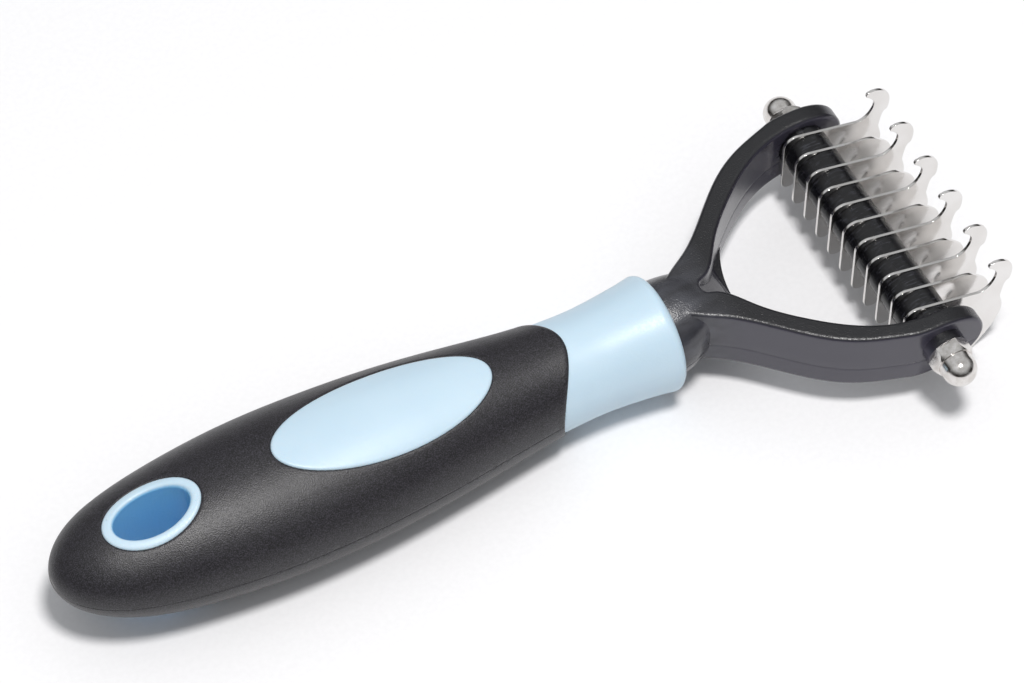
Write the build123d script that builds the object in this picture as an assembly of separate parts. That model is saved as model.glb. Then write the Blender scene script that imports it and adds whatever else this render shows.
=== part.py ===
from build123d import *
import math
import os

# Double-sided undercoat rake, lying flat, in millimetres.
# +X runs from the butt of the handle to the blades, +Y to the left, +Z up.
# The origin is on the surface it lies on, under the middle of its length and width.

# ---- head: rod, blades and spacers ----
ROD_X = 79.3            # rod axis, from the origin along the tool
ROD_Z = 16.5            # rod axis above the surface
ROD_R = 2.45            # M5 stud
BORE_GAP = 0.1          # radial play of every hole on the stud
PITCH = 4.8             # blade to blade
BLADE_COUNT = 11
BLADE_T = 0.6
SPACER_R = 5.1
SPACER_CHAMFER = 0.25
ROD_CHAMFER = 0.6
SEAT_GAP = 0.15         # the spot faces on the arms are this much larger in radius than the spacers

SIDE_Y = 60.0           # half the width that tools for side outlines span

# ---- fork ----
FORK_TOP = 23.1
FORK_BOTTOM = 8.1
ARM_OUTER_Y = 30.2      # outer faces of the two arms, at the rod
ARM_INNER_Y = 26.2
ARM_END_X = 89.0
BOSS_R = 4.4            # round boss under the right nut; the left nut sits on the arm itself
BOSS_Y = 32.4           # outer face of the boss
MIDDLE_Y = (BOSS_Y - ARM_OUTER_Y) / 2    # the handle's middle plane: the right nut stands further out
WEB_X = 50.0            # edge of the web in the crotch
WEB_EDGE_R = 26.0       # radius of that edge in plan
CROTCH_X = 41.6         # innermost point of the window
ARM_EDGE_R = 0.9        # rounding along the arms' edges
ARM_ROOT = (33.5, 4.2)
# points on the left arm's outer and inner edges in plan, from the root and from the rod
ARM_OUTER_LINE = [(37.6, 6.0), (42.2, 8.9), (47.3, 13.1), (55.3, 20.8), (64.2, 26.6), (71.5, 29.2)]
ARM_INNER_LINE = [(67.7, 23.8), (56.0, 15.6), (48.9, 7.9), (43.2, 1.9)]
WEB_SIDE = [(39, 5.5), (44, 8.0), (50, 14.0), (56, 19.0)]    # plan points inside the left arm
WEB_TOP = [(58, 12.0), (WEB_X, 12.0), (41.4, 22.3), (38, 22.3)]    # x and z of the web's sloping top
NECK_R = 9.9
NECK_TIP = (13.8, 14.8, 4.5)    # width, height and corner radius where it ends
NECK_TIP_X = 40.5       # where the neck has run out into the two arms
TANG_R = 5.6
TANG_END_X = -16.0
TANG_SLOT = 2.4         # cross slot that locks the moulded handle to the tang
TANG_SLOT_LENGTH = 6.0
TANG_SLOT_X = TANG_END_X + 8.0

# ---- cap nuts, M5, low form ----
NUT_FLATS = 7.7
NUT_HEX_H = 2.8
NUT_DOME_R = 3.55
NUT_CHAMFER = 1.7       # how much wider the chamfering cone is at the hexagon's base
NUT_H = 7.9
NUT_TURN = 13          # how far the hexagon is turned, degrees
NUT_THREAD_DEPTH = 6.0
STUD_ENGAGED = 5.2      # how far the stud goes into each nut

# ---- handle ----
# station along X, half width, half height, height of the centre
GRIP_SECTIONS = [
    (-98.3, 1.5, 1.3, 15.9),
    (-97.5, 3.8, 3.2, 15.9),
    (-95.6, 6.6, 5.2, 15.8),
    (-91.0, 10.2, 8.0, 15.6),
    (-83.0, 13.4, 10.5, 15.0),
    (-70.0, 15.8, 12.6, 14.7),
    (-55.0, 17.1, 13.7, 14.5),
    (-40.0, 17.0, 14.1, 14.2),
    (-22.0, 15.5, 13.8, 14.1),
    (-6.0, 13.3, 12.6, 13.8),
    (6.0, 11.7, 11.6, 13.65),
    (13.0, 11.3, 11.3, 13.65),
]
GRIP_SIDE_X = 5.4       # front edge of the grip at its sides; it runs further forward above and below
GRIP_EDGE_R = 14.6      # radius of that edge, seen from the side
SKIN = 2.2              # thickness of the soft grip over the hard core
PAD_X = -28.3
PAD_A, PAD_B = 23.2, 9.7
HOLE_X = -77.0
HOLE_A, HOLE_B = 7.8, 4.7
RIM_A, RIM_B = 10.0, 6.8
COLUMN_Z, COLUMN_HALF = 15.0, 20.0    # middle and half length of the upright cutting columns
COLLAR_Z = 13.65        # axis of the collar and of the neck
COLLAR_FRONT_X = 32.7
COLLAR_MOUTH_DEPTH = 3.0
# station along X and radius of the collar's waisted outside
COLLAR_PROFILE = [(4.0, 11.2), (16.5, 10.8), (25.5, 11.5), (30.5, 12.2)]
COLLAR_RIM_R = 1.6
MOUTH_GAP = 0.45        # gap round the neck in the collar's mouth

# ---- blade outline, measured from the rod axis: x along the tool, z up ----
LEG_LEFT, LEG_RIGHT = -5.4, -1.3
LEG_TIP_Z = -9.65
TOP_LEFT_Z = 6.69       # where the back edge and the top edge would meet
TOP_SLOPE = -0.25
CORNER_R = 2.6
HOOK_NECK_X = 11.4      # where the straight top edge ends on a hooked blade
HOOK_THROAT = [(14.4, 3.8), (15.3, 6.2), (13.8, 9.2)]
HOOK_BEAK = [(13.3, 10.1), (14.1, 10.7)]
HOOK_BACK = [(16.4, 10.3), (18.9, 6.9), (18.6, 3.3), (16.95, -1.6)]
NOSE_X = 8.4            # where it ends on a plain blade
NOSE = [(12.4, 2.3), (15.4, -0.3), (17.4, -4.4)]
CLAW_OUTER = [(17.7, -5.6), (16.4, -10.0), (12.7, -15.3)]
CLAW_TIP = [(10.7, -16.5), (9.0, -15.0)]
CLAW_INNER = [(10.9, -9.4), (12.4, -6.5), (10.9, -4.7), (6.5, -5.6), (2.2, -6.4), (LEG_RIGHT, -7.6)]


def blade_y(index):
    """Centre plane of a blade; blade 0 is the leftmost one."""
    return (BLADE_COUNT - 1) / 2 * PITCH - index * PITCH


def top_edge(x):
    return TOP_LEFT_Z + TOP_SLOPE * (x - LEG_LEFT)


def blade_outline(hooked):
    """Leg, sloping top edge, hook or rounded nose, and the claw that sweeps under."""
    leg_r = (LEG_RIGHT - LEG_LEFT) / 2
    leg_top = LEG_TIP_Z + leg_r
    reach = CORNER_R * math.tan(math.radians(52))
    corner_end = LEG_LEFT + reach * math.cos(math.atan(TOP_SLOPE))
    back = Line((LEG_LEFT, leg_top), (LEG_LEFT, TOP_LEFT_Z - reach))
    corner = TangentArc(back @ 1, (corner_end, top_edge(corner_end)), tangent=(0, 1))
    if hooked:
        top = Line(corner @ 1, (HOOK_NECK_X, top_edge(HOOK_NECK_X)))
        throat = Spline(top @ 1, *HOOK_THROAT, tangents=[(1, -0.22), (-0.7, 0.7)])
        beak = ThreePointArc(throat @ 1, *HOOK_BEAK)
        crown = Spline(beak @ 1, *HOOK_BACK, tangents=[(0.9, 0.35), (-0.1, -1)])
        front = [top, throat, beak, crown]
    else:
        top = Line(corner @ 1, (NOSE_X, top_edge(NOSE_X)))
        nose = Spline(top @ 1, *NOSE, tangents=[(1, -0.15), (0.1, -1)])
        front = [top, nose]
    claw = Spline(front[-1] @ 1, *CLAW_OUTER, tangents=[(0.2, -1), (-0.62, -0.78)])
    tip = ThreePointArc(claw @ 1, *CLAW_TIP)
    inner = Spline(tip @ 1, *CLAW_INNER, tangents=[(0.2, 1), (0, -1)])
    leg_end = ThreePointArc(inner @ 1, (LEG_LEFT + leg_r, LEG_TIP_Z), back @ 0)
    return [back, corner] + front + [claw, tip, inner, leg_end]


def blade(index, hooked):
    """One flat steel blade, bored for the rod."""
    face = make_face(Wire(blade_outline(hooked)))
    plane = Plane(origin=(ROD_X, blade_y(index) + BLADE_T / 2, ROD_Z), x_dir=(1, 0, 0), z_dir=(0, -1, 0))
    solid = extrude(plane * face, amount=BLADE_T)
    return solid - rod_cylinder(ROD_R + BORE_GAP, 100)


def rod_cylinder(radius, length, y=0):
    """A cylinder along Y on the rod axis, centred on y."""
    return Location((ROD_X, y, ROD_Z), (90, 0, 0)) * Cylinder(radius, length)


def spacer(low, high):
    """A round spacer tube that fills the gap between two faces."""
    length = high - low
    middle = (low + high) / 2
    ring = rod_cylinder(SPACER_R, length, middle) - rod_cylinder(ROD_R + 1.5 * BORE_GAP, length, middle)
    return chamfer(ring.edges().filter_by(GeomType.CIRCLE).sort_by(SortBy.RADIUS)[-2:], SPACER_CHAMFER)


def nut_seat(side):
    """Y of the face a nut is tightened against: +1 is the left arm, -1 the right arm's boss."""
    return ARM_OUTER_Y if side > 0 else -BOSS_Y


def cross_rod():
    """The stud that carries the blades and takes a nut at each end."""
    low, high = nut_seat(-1) - STUD_ENGAGED, nut_seat(1) + STUD_ENGAGED
    rod = rod_cylinder(ROD_R, high - low, (low + high) / 2)
    return chamfer(rod.edges().filter_by(GeomType.CIRCLE), ROD_CHAMFER)


def cap_nut(side):
    """Domed hexagon nut; side is +1 on the left arm and -1 on the right one."""
    hexagon = extrude(RegularPolygon(NUT_FLATS / 2, 6, major_radius=False, rotation=NUT_TURN), NUT_HEX_H)
    cone = Location((0, 0, NUT_HEX_H / 2)) * Cone(NUT_FLATS / 2 + NUT_CHAMFER, NUT_FLATS / 2, NUT_HEX_H)
    stem_top = NUT_H - NUT_DOME_R
    stem = Location((0, 0, stem_top / 2)) * Cylinder(NUT_DOME_R, stem_top)
    dome = Location((0, 0, stem_top)) * Sphere(NUT_DOME_R)
    bore = Location((0, 0, NUT_THREAD_DEPTH / 2)) * Cylinder(ROD_R + BORE_GAP / 2, NUT_THREAD_DEPTH)
    nut = (hexagon & cone) + stem + dome - bore
    tilt = -90 if side > 0 else 90
    return Location((ROD_X, nut_seat(side), ROD_Z), (tilt, 0, 0)) * nut


def arm_plan():
    """Plan outline of the two arms up to the rod, as one closed face, mirrored about the middle."""
    outer = Spline(ARM_ROOT, *ARM_OUTER_LINE, (ROD_X, ARM_OUTER_Y), tangents=[(1, 0), (1, 0)])
    end = Line(outer @ 1, (ROD_X, ARM_INNER_Y))
    inner = Spline(end @ 1, *ARM_INNER_LINE, (CROTCH_X, 0), tangents=[(-1, 0), (0, -1)])
    half = [outer, end, inner]
    back = Line((ARM_ROOT[0], -ARM_ROOT[1]), ARM_ROOT)
    return make_face(Wire(half + [edge.mirror(Plane.XZ) for edge in half] + [back]))


def side_plane():
    """Plane of side outlines: x along the tool, y up; extruded by 2 SIDE_Y it spans the whole head."""
    return Plane(origin=(0, SIDE_Y, 0), x_dir=(1, 0, 0), z_dir=(0, -1, 0))


def arm_end(side):
    """The rounded lobe beyond the rod that closes one arm: +1 is the left arm."""
    mid_z, half_height = (FORK_TOP + FORK_BOTTOM) / 2, (FORK_TOP - FORK_BOTTOM) / 2
    outline = Plane(origin=(ROD_X, 0, mid_z), x_dir=(1, 0, 0), z_dir=(0, -1, 0)) * Ellipse(
        ARM_END_X - ROD_X, half_height)
    lobe = Location((0, side * (ARM_OUTER_Y + ARM_INNER_Y) / 2, 0)) * extrude(
        outline, (ARM_OUTER_Y - ARM_INNER_Y) / 2, both=True)
    lobe = fillet(lobe.edges().filter_by(GeomType.ELLIPSE), ARM_EDGE_R)
    beyond = Location((ROD_X + SIDE_Y / 2, 0, mid_z)) * Box(SIDE_Y, 2 * SIDE_Y, 4 * half_height)
    return lobe & beyond


def web():
    """Low web that fills the crotch and slopes down to a concave edge."""
    plan = make_face(Polyline(WEB_SIDE + [(x, -y) for x, y in reversed(WEB_SIDE)], close=True))
    block = extrude(Plane.XY.offset(FORK_BOTTOM) * plan, amount=FORK_TOP - FORK_BOTTOM)
    below = [(WEB_TOP[-1][0], FORK_BOTTOM), (WEB_TOP[0][0], FORK_BOTTOM)]
    wedge = extrude(side_plane() * make_face(Polyline(below + WEB_TOP, close=True)), amount=2 * SIDE_Y)
    window = Location((WEB_X + WEB_EDGE_R, 0, FORK_BOTTOM)) * Cylinder(WEB_EDGE_R, SIDE_Y)
    return (block & wedge) - window


def neck():
    """The round root in the collar's mouth, running out into the two arms."""
    mid_z = (FORK_TOP + FORK_BOTTOM) / 2
    stations = [(COLLAR_FRONT_X - COLLAR_MOUTH_DEPTH + 0.2, COLLAR_Z), (COLLAR_FRONT_X + 1.2, COLLAR_Z + 0.5)]
    rounds = [Plane(origin=(x, 0, z), x_dir=(0, 1, 0), z_dir=(1, 0, 0)) * Circle(NECK_R) for x, z in stations]
    tip = Plane(origin=(NECK_TIP_X, 0, mid_z), x_dir=(0, 1, 0), z_dir=(1, 0, 0))
    return loft(rounds + [tip * RectangleRounded(*NECK_TIP)])


def fork():
    """Two arms, one with a boss, the web and the neck, and the tang inside the handle."""
    arms = extrude(Plane.XY.offset(FORK_BOTTOM) * arm_plan(), amount=FORK_TOP - FORK_BOTTOM)
    rims = [e for e in arms.edges() if abs(e.tangent_at(0.5).Z) < 0.1 and 36 < e.center().X < ROD_X - 1]
    arms = fillet(rims, ARM_EDGE_R) + arm_end(1) + arm_end(-1)
    boss_root = (ARM_INNER_Y + ARM_OUTER_Y) / 2
    boss = rod_cylinder(BOSS_R, BOSS_Y - boss_root, -(BOSS_Y + boss_root) / 2)
    tang_length = COLLAR_FRONT_X - TANG_END_X
    tang_place = Location(((COLLAR_FRONT_X + TANG_END_X) / 2, 0, COLLAR_Z), (0, 90, 0))
    tang = tang_place * Cylinder(TANG_R, tang_length)
    slot = Location((TANG_SLOT_X, 0, COLLAR_Z)) * Box(TANG_SLOT_LENGTH, 4 * TANG_R, TANG_SLOT)
    bore = rod_cylinder(ROD_R + BORE_GAP, 100) + rod_cylinder(SPACER_R + SEAT_GAP, 2 * ARM_INNER_Y)
    return arms + boss + web() + neck() + (tang - slot) - bore


def grip_body(inset):
    """The handle's smooth outside, or a copy of it that lies inset below the surface."""
    sections = []
    for x, half_width, half_height, centre_z in GRIP_SECTIONS:
        if half_width - inset < 1.2 or half_height - inset < 1.2:
            continue
        plane = Plane(origin=(x, 0, centre_z), x_dir=(0, 1, 0), z_dir=(1, 0, 0))
        sections.append(plane * Ellipse(half_width - inset, half_height - inset))
    return loft(sections)


def column(x, a, b):
    """An upright elliptic column through the whole handle."""
    return Location((x, 0, COLUMN_Z)) * extrude(Ellipse(a, b), COLUMN_HALF, both=True)


def collar():
    """Waisted collar with a rounded front rim, bored for the neck and the tang."""
    start = (COLLAR_PROFILE[0][0], COLLAR_Z)
    outside = Spline(*[(x, COLLAR_Z + r) for x, r in COLLAR_PROFILE], tangents=[(1, -0.04), (1, 0.2)])
    rim_end = (COLLAR_FRONT_X, COLLAR_Z + COLLAR_PROFILE[-1][1] - COLLAR_RIM_R)
    rim = TangentArc(outside @ 1, rim_end, tangent=(1, 0.2))
    front = Polyline(rim_end, (COLLAR_FRONT_X, COLLAR_Z), start, outside @ 0)
    face = make_face(Plane.XZ * Wire([outside, rim] + front.edges()))
    return revolve(face, Axis((0, 0, COLLAR_Z), (1, 0, 0)), 360)


def tang_socket():
    """The space in the core that the tang and the root of the neck fill."""
    length = COLLAR_FRONT_X - TANG_END_X + 0.1
    bore = Location((TANG_END_X - 0.1 + length / 2, 0, COLLAR_Z), (0, 90, 0)) * Cylinder(TANG_R + 0.05, length)
    key = Location((TANG_SLOT_X, 0, COLLAR_Z)) * Box(TANG_SLOT_LENGTH - 0.2, 4 * TANG_R, TANG_SLOT - 0.1)
    mouth_x = COLLAR_FRONT_X - COLLAR_MOUTH_DEPTH / 2
    mouth_place = Location((mouth_x, 0, COLLAR_Z), (0, 90, 0))
    mouth = mouth_place * Cylinder(NECK_R + MOUTH_GAP, COLLAR_MOUTH_DEPTH + 0.8)
    return (bore - key) + mouth


def pad_column():
    """Upper half of the column that carries the thumb pad."""
    upper = Location((PAD_X, 0, COLUMN_Z + COLUMN_HALF / 2)) * Box(4 * PAD_A, 4 * PAD_B, COLUMN_HALF)
    return column(PAD_X, PAD_A, PAD_B) & upper


def grip_sleeve(outside, inside):
    """Soft black grip moulded over the core, cut out for the pad and the liner."""
    edge = Location((GRIP_SIDE_X + GRIP_EDGE_R, 0, COLLAR_Z), (90, 0, 0)) * Cylinder(GRIP_EDGE_R, 60)
    return outside - inside - edge - pad_column() - column(HOLE_X, RIM_A, RIM_B)


def handle_core(outside, inside, sleeve):
    """Hard core: the collar, the body under the grip, the thumb pad and the hole's liner."""
    pad = pad_column() & outside
    liner = column(HOLE_X, RIM_A, RIM_B) & outside
    body = inside + collar() + pad + liner - sleeve
    return body - column(HOLE_X, HOLE_A, HOLE_B) - tang_socket()


def write(name, shape):
    """Saves one piece. Shapes are drawn about the handle's middle plane and put in place here."""
    solids = (Location((0, MIDDLE_Y, 0)) * shape).solids()
    export_step(solids[0] if len(solids) == 1 else Compound(children=list(solids)), f"parts/{name}.step")


def main():
    os.makedirs("parts", exist_ok=True)
    outside, inside = grip_body(0), grip_body(SKIN)
    sleeve = grip_sleeve(outside, inside)
    write("grip_sleeve", sleeve)
    write("handle_core", handle_core(outside, inside, sleeve))
    write("fork", fork())
    write("cross_rod", cross_rod())
    write("cap_nut_left", cap_nut(1))
    write("cap_nut_right", cap_nut(-1))
    for index in range(BLADE_COUNT):
        hooked = index % 2 == 0
        name = f"hook_blade_{index // 2 + 1}" if hooked else f"plain_blade_{index // 2 + 1}"
        write(name, blade(index, hooked))
    half_t = BLADE_T / 2
    for index in range(BLADE_COUNT - 1):
        write(f"spacer_{index + 1}", spacer(blade_y(index + 1) + half_t, blade_y(index) - half_t))
    end_face = blade_y(0) + half_t
    write("end_spacer_left", spacer(end_face, ARM_INNER_Y))
    write("end_spacer_right", spacer(-ARM_INNER_Y, -end_face))


main()
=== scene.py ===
import bmesh
import bpy
import math
import numpy as np
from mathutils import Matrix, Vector


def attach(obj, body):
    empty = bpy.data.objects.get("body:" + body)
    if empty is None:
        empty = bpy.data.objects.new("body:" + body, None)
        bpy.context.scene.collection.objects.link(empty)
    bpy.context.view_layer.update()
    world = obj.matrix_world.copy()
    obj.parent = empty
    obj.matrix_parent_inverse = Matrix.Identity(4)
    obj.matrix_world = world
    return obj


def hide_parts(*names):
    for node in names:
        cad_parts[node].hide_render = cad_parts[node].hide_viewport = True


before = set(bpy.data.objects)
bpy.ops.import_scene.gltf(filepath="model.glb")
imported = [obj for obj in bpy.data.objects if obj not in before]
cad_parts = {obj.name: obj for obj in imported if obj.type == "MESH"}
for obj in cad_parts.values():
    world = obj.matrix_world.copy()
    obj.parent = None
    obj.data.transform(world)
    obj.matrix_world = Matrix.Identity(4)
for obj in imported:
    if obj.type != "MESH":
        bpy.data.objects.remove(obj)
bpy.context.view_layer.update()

# Undercoat rake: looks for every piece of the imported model. Metres, +X to the blades, +Z up.
MM = 0.001
BLADE_NODES = sorted(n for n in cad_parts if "_blade_" in n)
SPACER_NODES = sorted(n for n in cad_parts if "spacer" in n)
NUT_NODES = ["cap_nut_left", "cap_nut_right"]

WELD = 0.002 * MM            # vertices nearer than this are joined
FLAT_ANGLE = 0.4             # degrees; faces that meet flatter than this are merged
BEVEL_ANGLE = 28             # degrees; edges sharper than this are rounded
CREASE_ANGLE = 38            # degrees; edges sharper than this stay creases in the shading
SPACER_CREASE = 30
NUT_CREASE = 24
FORK_ROUNDING = 0.20 * MM
BLADE_ROUNDING = 0.07 * MM
NUT_ROUNDING = 0.18 * MM

# handle landmarks, as in the part
PAD = (-28.3 * MM, 23.2 * MM, 9.7 * MM)       # middle along X, half length, half width
RIM = (-77.0 * MM, 10.0 * MM, 6.8 * MM)
HOLE = (-77.0 * MM, 7.8 * MM, 4.7 * MM)
MIDDLE_Y = 1.1 * MM          # the handle's middle plane
AXIS_Z = 13.65 * MM
FRONT_EDGE = (20.0 * MM, AXIS_Z, 14.6 * MM)   # centre x, centre z and radius of the grip's front edge
SEAM_WIDTH = 0.75 * MM
SEAM_DEPTH = 0.32 * MM
SEAM_REACH = 1.5 * MM        # the mesh is refined this far from a seam
EVEN_BAND = 2 * MM           # half height of the band round AXIS_Z that seams leave alone
FADE_BAND = 3 * MM           # height over which they reach their full depth
FINE_EDGE = 0.28 * MM
FINE_PASSES = 4
LIP_RADIUS = 1.0 * MM        # rounding of the hanging hole's lip
LIP_SHARE = 0.9              # part of that rounding that is carried out
LIP_OVERLAP = 0.05 * MM      # the lip takes in the hole's wall this far
PARTING_DEPTH = 0.10 * MM
PARTING_HALF = 0.14 * MM     # half width of a parting line
ON_PLANE = 0.001 * MM
GRIP_PARTING = ((0, 0, 13.9 * MM), (0.02, 0, 1))
FORK_PARTING = ((0, 0, 13.3 * MM), (0, 0, 1))
NECK_X = (37.0 * MM, 46.0 * MM)    # the scuffs fade out between these

CAMERA_PLACE = (-0.2239, -0.4298, 0.7249)
CAMERA_TILT = 35.0           # degrees from looking straight down
CAMERA_TURN = -27.43         # degrees about the vertical
CAMERA_LENS = 154.69         # millimetres
CAMERA_SENSOR = 36.0

FLOOR_SIZE = 3.0
KEY_SIZE = 0.25
KEY_DISTANCE = 1.3
KEY_TILT = 13.0              # degrees off vertical, towards the near side
KEY_POWER = 12.6
SKY_HIGH = 0.62              # brightness overhead
SKY_LOW = 0.04               # brightness at the horizon
SKY_SPAN = (0.25, 0.60)      # heights of direction between which the sky brightens


# ---- meshes ----

def link(name, mesh):
    obj = bpy.data.objects.new(name, mesh)
    bpy.context.scene.collection.objects.link(obj)
    return obj


def apply_modifiers(obj):
    """Replaces the object's mesh by what its modifiers make of it."""
    graph = bpy.context.evaluated_depsgraph_get()
    made = bpy.data.meshes.new_from_object(obj.evaluated_get(graph))
    obj.modifiers.clear()
    obj.data = made
    made.name = obj.name
    return obj


def welded_copy(node, name, merge=False):
    """A new object with the node's shape, its split vertices joined and, with merge, its flat faces too."""
    bm = bmesh.new()
    bm.from_mesh(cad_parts[node].data)
    bmesh.ops.remove_doubles(bm, verts=bm.verts, dist=WELD)
    if merge:
        flat = math.radians(FLAT_ANGLE)
        bmesh.ops.dissolve_limit(bm, angle_limit=flat, verts=bm.verts, edges=bm.edges)
    mesh = bpy.data.meshes.new(name)
    bm.to_mesh(mesh)
    bm.free()
    return link(name, mesh)


def rounded_copy(node, name, width, segments=3, merge=True):
    """The node's shape with its sharp edges rounded."""
    obj = welded_copy(node, name, merge)
    bevel = obj.modifiers.new("bevel", "BEVEL")
    bevel.width = width
    bevel.segments = segments
    bevel.limit_method = "ANGLE"
    bevel.angle_limit = math.radians(BEVEL_ANGLE)
    return apply_modifiers(obj)


def finish_normals(obj, angle=CREASE_ANGLE):
    """Smooth shading, flat faces kept flat, with creases only at real corners."""
    mesh = obj.data
    mesh.polygons.foreach_set("use_smooth", [True] * len(mesh.polygons))
    mesh.set_sharp_from_angle(angle=math.radians(angle))
    normals = obj.modifiers.new("normals", "WEIGHTED_NORMAL")
    normals.keep_sharp = True
    return apply_modifiers(obj)


def from_ellipse(x, y, ellipse):
    """Distance in plan from an ellipse's edge, positive outside it."""
    middle, half_length, half_width = ellipse
    across = y - MIDDLE_Y
    reach = np.hypot((x - middle) / half_length, across / half_width)
    reach = np.maximum(reach, 1e-6)
    return (1 - 1 / reach) * np.hypot(x - middle, across)


def from_front_edge(x, y, z):
    """Distance from the grip's front edge, seen from the side."""
    return np.hypot(x - FRONT_EDGE[0], z - FRONT_EDGE[1]) - FRONT_EDGE[2]


def coordinates(mesh):
    flat = np.empty(len(mesh.vertices) * 3)
    mesh.vertices.foreach_get("co", flat)
    return flat.reshape(-1, 3)


def refine_near(obj, distance):
    """Splits long edges near a seam again and again, until the mesh there is fine enough to bend."""
    bm = bmesh.new()
    bm.from_mesh(obj.data)
    for _ in range(FINE_PASSES):
        bm.verts.index_update()
        co = np.array([v.co for v in bm.verts])
        near = np.abs(distance(*co.T)) < SEAM_REACH
        edges = [e for e in bm.edges
                 if (near[e.verts[0].index] or near[e.verts[1].index]) and e.calc_length() > FINE_EDGE]
        bmesh.ops.subdivide_edges(bm, edges=edges, cuts=1)
        bmesh.ops.triangulate(bm, faces=[f for f in bm.faces if len(f.verts) > 3])
    bm.to_mesh(obj.data)
    bm.free()


def press(obj, distance, profile, towards_axis=False):
    """Moves the surface in by profile(distance): up and down, or towards the handle's axis."""
    co = coordinates(obj.data)
    depth = profile(distance(*co.T))
    if towards_axis:
        off_axis = co[:, 1:] - (MIDDLE_Y, AXIS_Z)
        radius = np.maximum(np.linalg.norm(off_axis, axis=1, keepdims=True), MM)
        co[:, 1:] -= off_axis / radius * depth[:, None]
    else:
        height = co[:, 2] - AXIS_Z
        depth *= np.clip((np.abs(height) - EVEN_BAND) / FADE_BAND, 0, 1)
        co[:, 2] -= np.sign(height) * depth
    obj.data.vertices.foreach_set("co", co.ravel())
    obj.data.update()


def seam_profile(distance):
    """A soft round shoulder that falls to the seam's full depth at the seam itself."""
    share = np.clip(1 - np.abs(distance) / SEAM_WIDTH, 0, 1)
    return SEAM_DEPTH * (1 - np.sqrt(1 - share ** 2))


def lip_profile(distance):
    """A quarter round that leads over the rim into the hole."""
    inset = np.clip(LIP_RADIUS - np.maximum(distance, 0), 0, LIP_RADIUS)
    drop = LIP_RADIUS - np.sqrt(LIP_RADIUS ** 2 - inset ** 2)
    return np.where(distance > -LIP_OVERLAP, np.minimum(drop, LIP_RADIUS * LIP_SHARE), 0)


def add_seam(obj, distance, profile, towards_axis=False):
    refine_near(obj, distance)
    press(obj, distance, profile, towards_axis)


def add_parting_line(obj, plane):
    """A fine V groove where the two halves of the mould met."""
    point, normal = Vector(plane[0]), Vector(plane[1]).normalized()
    bm = bmesh.new()
    bm.from_mesh(obj.data)
    for offset in (-PARTING_HALF, 0, PARTING_HALF):
        geometry = bm.verts[:] + bm.edges[:] + bm.faces[:]
        place = point + normal * offset
        bmesh.ops.bisect_plane(bm, geom=geometry, plane_co=place, plane_no=normal, dist=1e-8)
    bm.normal_update()
    for vert in bm.verts:
        if abs((vert.co - point).dot(normal)) < ON_PLANE:
            vert.co -= vert.normal * PARTING_DEPTH
    bm.to_mesh(obj.data)
    bm.free()


# ---- materials ----

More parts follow.
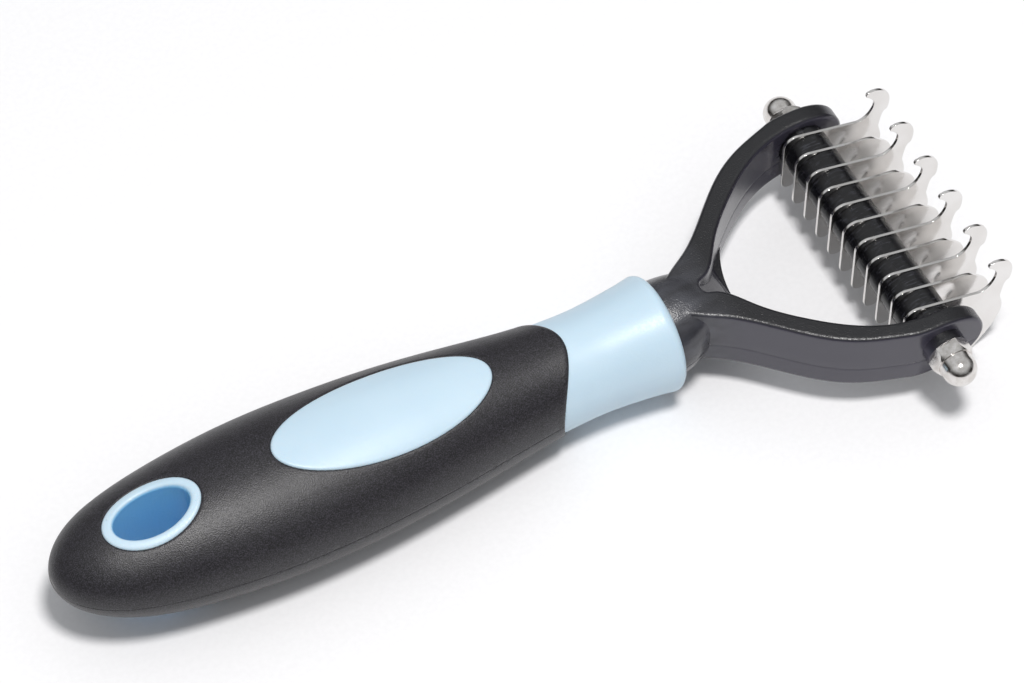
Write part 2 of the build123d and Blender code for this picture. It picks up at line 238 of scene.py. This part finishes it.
class Shader:
    """A material's node tree with short calls for the nodes used here."""

    def __init__(self, name, **values):
        self.material = bpy.data.materials.new(name)
        self.material.use_nodes = True
        self.tree = self.material.node_tree
        self.bsdf = self.tree.nodes["Principled BSDF"]
        for socket, value in values.items():
            self.bsdf.inputs[socket.replace("_", " ")].default_value = value
        self.place = self.node("ShaderNodeTexCoord").outputs["Object"]

    def node(self, kind, **settings):
        made = self.tree.nodes.new(kind)
        for key, value in settings.items():
            setattr(made, key, value)
        return made

    def join(self, source, target):
        self.tree.links.new(source, target)

    def noise(self, scale, detail=3.0, stretch=(1, 1, 1)):
        mapping = self.node("ShaderNodeMapping")
        mapping.inputs["Scale"].default_value = stretch
        self.join(self.place, mapping.inputs["Vector"])
        noise = self.node("ShaderNodeTexNoise")
        noise.inputs["Scale"].default_value = scale
        noise.inputs["Detail"].default_value = detail
        self.join(mapping.outputs["Vector"], noise.inputs["Vector"])
        return noise.outputs["Fac"]

    def ramp(self, source, low, high, span=(0.35, 0.65)):
        """Maps a 0 to 1 factor to colours between low and high."""
        ramp = self.node("ShaderNodeValToRGB")
        first, last = ramp.color_ramp.elements
        first.position, last.position = span
        first.color, last.color = (*low, 1), (*high, 1)
        self.join(source, ramp.inputs["Fac"])
        return ramp.outputs["Color"]

    def remap(self, source, low, high, span=(0.35, 0.65)):
        remap = self.node("ShaderNodeMapRange")
        remap.inputs["From Min"].default_value, remap.inputs["From Max"].default_value = span
        remap.inputs["To Min"].default_value, remap.inputs["To Max"].default_value = low, high
        self.join(source, remap.inputs["Value"])
        return remap.outputs["Result"]

    def bump(self, height, strength, distance, after=None):
        bump = self.node("ShaderNodeBump")
        bump.inputs["Distance"].default_value = distance
        if isinstance(strength, float):
            bump.inputs["Strength"].default_value = strength
        else:
            self.join(strength, bump.inputs["Strength"])
        self.join(height, bump.inputs["Height"])
        if after is not None:
            self.join(after, bump.inputs["Normal"])
        return bump.outputs["Normal"]

    def facing(self, axis):
        """One component of the surface's own direction."""
        geometry = self.node("ShaderNodeNewGeometry")
        split = self.node("ShaderNodeSeparateXYZ")
        self.join(geometry.outputs["Normal"], split.inputs["Vector"])
        return split.outputs[axis]

    def along(self, axis):
        """The place along one axis, in metres."""
        split = self.node("ShaderNodeSeparateXYZ")
        self.join(self.place, split.inputs["Vector"])
        return split.outputs[axis]

    def blend(self, factor, first, second):
        """The first colour where factor is 0, the second where it is 1."""
        mix = self.node("ShaderNodeMix", data_type="RGBA")
        self.join(factor, mix.inputs["Factor"])
        self.join(first, mix.inputs[6])
        self.join(second, mix.inputs[7])
        return mix.outputs[2]

    def inside_ellipse(self, ellipse):
        """1 inside an upright ellipse seen in plan, 0 outside it, with a soft edge."""
        middle, half_length, half_width = ellipse
        mapping = self.node("ShaderNodeMapping")
        mapping.inputs["Location"].default_value = (-middle / half_length, -MIDDLE_Y / half_width, 0)
        mapping.inputs["Scale"].default_value = (1 / half_length, 1 / half_width, 0)
        self.join(self.place, mapping.inputs["Vector"])
        length = self.node("ShaderNodeVectorMath", operation="LENGTH")
        self.join(mapping.outputs["Vector"], length.inputs[0])
        return self.remap(length.outputs["Value"], 1.0, 0.0, (1.0, 1.05))

    def set(self, **sources):
        for socket, source in sources.items():
            self.join(source, self.bsdf.inputs[socket.replace("_", " ")])
        return self.material


def blue_plastic():
    """Light blue moulded plastic with a faint spark-eroded grain, and painted shade inside the hanging
    hole.
    """
    shader = Shader("blue_plastic", IOR=1.47, Subsurface_Weight=0.12, Subsurface_Scale=0.0015)
    shader.bsdf.inputs["Subsurface Radius"].default_value = (0.5, 0.9, 1.2)
    cloud = shader.noise(60.0, 2.0)
    grain = shader.noise(2600.0, 2.0)
    colour = shader.ramp(cloud, (0.505, 0.655, 0.765), (0.53, 0.675, 0.78))
    # painted shade: a darker, deeper blue painted inside the hanging hole, where shade falls
    painted_hole_shade = shader.ramp(grain, (0.22, 0.56, 0.86), (0.24, 0.58, 0.88))
    return shader.set(
        Base_Color=shader.blend(shader.inside_ellipse(HOLE), colour, painted_hole_shade),
        Roughness=shader.remap(grain, 0.34, 0.44),
        Normal=shader.bump(grain, 0.35, 0.04 * MM),
    )


def grip_rubber():
    """Black soft-touch grip with a fine sparkling grain."""
    shader = Shader("grip_rubber", IOR=1.52)
    grain = shader.noise(4600.0, 1.0)
    cloud = shader.noise(45.0, 3.0)
    colour = shader.ramp(grain, (0.003, 0.0027, 0.0035), (0.040, 0.037, 0.048), (0.42, 0.70))
    fine = shader.bump(grain, 1.0, 0.06 * MM)
    return shader.set(
        Base_Color=colour,
        Roughness=shader.remap(cloud, 0.38, 0.44),
        Normal=fine,
    )


def fork_plastic():
    """Black nylon: textured on top, smoother on its sides, scuffed round the neck, with painted light that
    makes its sides lighter than its top.
    """
    shader = Shader("fork_plastic", IOR=1.58)
    grain = shader.noise(3200.0, 1.0)
    wave = shader.noise(160.0, 2.0)
    scuffs = shader.noise(420.0, 4.0, (0.35, 1, 1))
    up = shader.facing("Z")
    # painted light: colour goes by facing, the sides painted lighter as painted reflected light, the top
    # darker
    painted_side_light = shader.ramp(up, (0.046, 0.043, 0.062), (0.004, 0.004, 0.006), (0.3, 0.9))
    worn = shader.ramp(scuffs, (0.022, 0.022, 0.027), (0.060, 0.062, 0.075), (0.3, 0.75))
    near_neck = shader.remap(shader.along("X"), 1.0, 0.0, NECK_X)
    uneven = shader.bump(wave, 0.12, 0.12 * MM)
    scratched = shader.bump(scuffs, shader.remap(shader.along("X"), 0.35, 0.0, NECK_X), 0.12 * MM, uneven)
    return shader.set(
        Base_Color=shader.blend(near_neck, painted_side_light, worn),
        Roughness=shader.remap(up, 0.25, 0.34, (0.75, 0.97)),
        Normal=shader.bump(grain, shader.remap(up, 0.05, 0.9, (0.75, 0.97)), 0.12 * MM, scratched),
    )


def spacer_plastic():
    """Glossy black tube with a slightly uneven surface."""
    shader = Shader("spacer_plastic", IOR=1.5)
    wave = shader.noise(420.0, 2.0, (1, 0.4, 1))
    scratches = shader.noise(2600.0, 3.0, (0.15, 1, 0.3))
    colour = shader.ramp(scratches, (0.003, 0.003, 0.004), (0.035, 0.036, 0.045), (0.55, 0.75))
    return shader.set(
        Base_Color=colour,
        Roughness=shader.remap(wave, 0.20, 0.34),
        Normal=shader.bump(wave, 0.35, 0.06 * MM),
    )


def blade_steel():
    """Polished stainless sheet with a faint rolling grain."""
    shader = Shader("blade_steel", Metallic=1.0)
    lines = shader.noise(900.0, 3.0, (0.15, 1, 1))
    cloud = shader.noise(120.0, 2.0)
    colour = shader.ramp(cloud, (0.73, 0.71, 0.69), (0.79, 0.775, 0.76))
    return shader.set(
        Base_Color=colour,
        Roughness=shader.remap(lines, 0.10, 0.17),
        Normal=shader.bump(lines, 0.02, 0.01 * MM),
    )


def nut_steel():
    """Bright nickel plate with light handling marks."""
    shader = Shader("nut_steel", Metallic=1.0)
    marks = shader.noise(700.0, 4.0)
    colour = shader.ramp(marks, (0.58, 0.55, 0.52), (0.80, 0.78, 0.76), (0.3, 0.7))
    return shader.set(
        Base_Color=colour,
        Roughness=shader.remap(marks, 0.10, 0.26),
        Normal=shader.bump(marks, 0.18, 0.05 * MM),
    )


def stud_steel():
    """Zinc-plated stud, nearly all of it hidden."""
    shader = Shader("stud_steel", Metallic=1.0)
    rings = shader.noise(1500.0, 2.0, (0.2, 1, 0.2))
    colour = shader.ramp(rings, (0.50, 0.49, 0.48), (0.62, 0.61, 0.60))
    return shader.set(
        Base_Color=colour,
        Roughness=shader.remap(rings, 0.28, 0.38),
        Normal=shader.bump(rings, 0.2, 0.05 * MM),
    )


def floor_white():
    """Matt white studio board."""
    shader = Shader("floor_white", IOR=1.3)
    fibre = shader.noise(900.0, 2.0)
    colour = shader.ramp(fibre, (0.845, 0.845, 0.86), (0.865, 0.865, 0.88))
    return shader.set(Base_Color=colour, Roughness=shader.remap(fibre, 0.75, 0.85))


def dress(obj, material):
    obj.data.materials.clear()
    obj.data.materials.append(material)


# ---- pieces ----

def stand_in(obj, node, material):
    """obj takes the place of a CAD node."""
    dress(obj, material)
    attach(obj, "root")
    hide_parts(node)
    return obj


def pad_edge(x, y, z):
    return from_ellipse(x, y, PAD) + np.where(z < AXIS_Z, 1.0, 0.0)


def rim_edge(x, y, z):
    return from_ellipse(x, y, RIM)


def hole_edge(x, y, z):
    return from_ellipse(x, y, HOLE)


def make_handle(plastic, rubber):
    grip = welded_copy("grip_sleeve", "grip")
    core = welded_copy("handle_core", "core")
    for obj in (grip, core):
        add_seam(obj, pad_edge, seam_profile)
        add_seam(obj, rim_edge, seam_profile)
    add_seam(grip, from_front_edge, seam_profile, towards_axis=True)
    add_seam(core, hole_edge, lip_profile)
    add_parting_line(grip, GRIP_PARTING)
    stand_in(finish_normals(grip), "grip_sleeve", rubber)
    stand_in(finish_normals(core), "handle_core", plastic)


def make_fork(material):
    fork = rounded_copy("fork", "fork_body", FORK_ROUNDING, merge=False)
    add_parting_line(fork, FORK_PARTING)
    stand_in(finish_normals(fork), "fork", material)


def make_head(steel, black, bright, stud):
    for node in BLADE_NODES:
        blade = finish_normals(rounded_copy(node, node + "_polished", BLADE_ROUNDING))
        stand_in(blade, node, steel)
    for node in SPACER_NODES:
        spacer = finish_normals(welded_copy(node, node + "_moulded"), SPACER_CREASE)
        stand_in(spacer, node, black)
    for node in NUT_NODES:
        nut = finish_normals(rounded_copy(node, node + "_plated", NUT_ROUNDING, merge=False), NUT_CREASE)
        stand_in(nut, node, bright)
    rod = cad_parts["cross_rod"]
    for index in range(len(rod.material_slots)):
        rod.material_slots[index].material = stud


# ---- studio ----

def make_floor():
    half = FLOOR_SIZE / 2
    corners = [(-half, -half, 0), (half, -half, 0), (half, half, 0), (-half, half, 0)]
    mesh = bpy.data.meshes.new("floor")
    mesh.from_pydata(corners, [], [(0, 1, 2, 3)])
    floor = link("floor", mesh)
    dress(floor, floor_white())


def make_camera():
    data = bpy.data.cameras.new("camera")
    data.lens = CAMERA_LENS
    data.sensor_width = CAMERA_SENSOR
    data.clip_start, data.clip_end = 0.05, 20.0
    camera = bpy.data.objects.new("camera", data)
    camera.location = CAMERA_PLACE
    camera.rotation_euler = (math.radians(CAMERA_TILT), 0, math.radians(CAMERA_TURN))
    bpy.context.scene.collection.objects.link(camera)
    bpy.context.scene.camera = camera


def area_light(name, place, aim, size, power, colour):
    data = bpy.data.lights.new(name, "AREA")
    data.shape = "DISK"
    data.size = size
    data.energy = power
    data.color = colour
    lamp = bpy.data.objects.new(name, data)
    lamp.location = place
    lamp.rotation_mode = "QUATERNION"
    lamp.rotation_quaternion = (Vector(aim) - Vector(place)).to_track_quat("-Z", "Y")
    bpy.context.scene.collection.objects.link(lamp)


def make_lights():
    tilt = math.radians(KEY_TILT)
    place = (0.0, -KEY_DISTANCE * math.sin(tilt), KEY_DISTANCE * math.cos(tilt))
    area_light("key", place, (0, 0, 0), KEY_SIZE, KEY_POWER, (1.0, 0.985, 0.97))
    world = bpy.data.worlds.new("studio")
    world.use_nodes = True
    tree = world.node_tree
    split = tree.nodes.new("ShaderNodeSeparateXYZ")
    tree.links.new(tree.nodes.new("ShaderNodeTexCoord").outputs["Generated"], split.inputs["Vector"])
    ramp = tree.nodes.new("ShaderNodeValToRGB")
    low, high = ramp.color_ramp.elements
    low.position, high.position = SKY_SPAN
    low.color = (SKY_LOW, SKY_LOW * 0.93, SKY_LOW * 0.88, 1)
    high.color = (SKY_HIGH * 0.97, SKY_HIGH * 0.985, SKY_HIGH, 1)
    tree.links.new(split.outputs["Z"], ramp.inputs["Fac"])
    tree.links.new(ramp.outputs["Color"], tree.nodes["Background"].inputs["Color"])
    bpy.context.scene.world = world
    bpy.context.scene.view_settings.view_transform = "Standard"


make_camera()
make_floor()
make_lights()
make_handle(blue_plastic(), grip_rubber())
make_fork(fork_plastic())
make_head(blade_steel(), spacer_plastic(), nut_steel(), stud_steel())
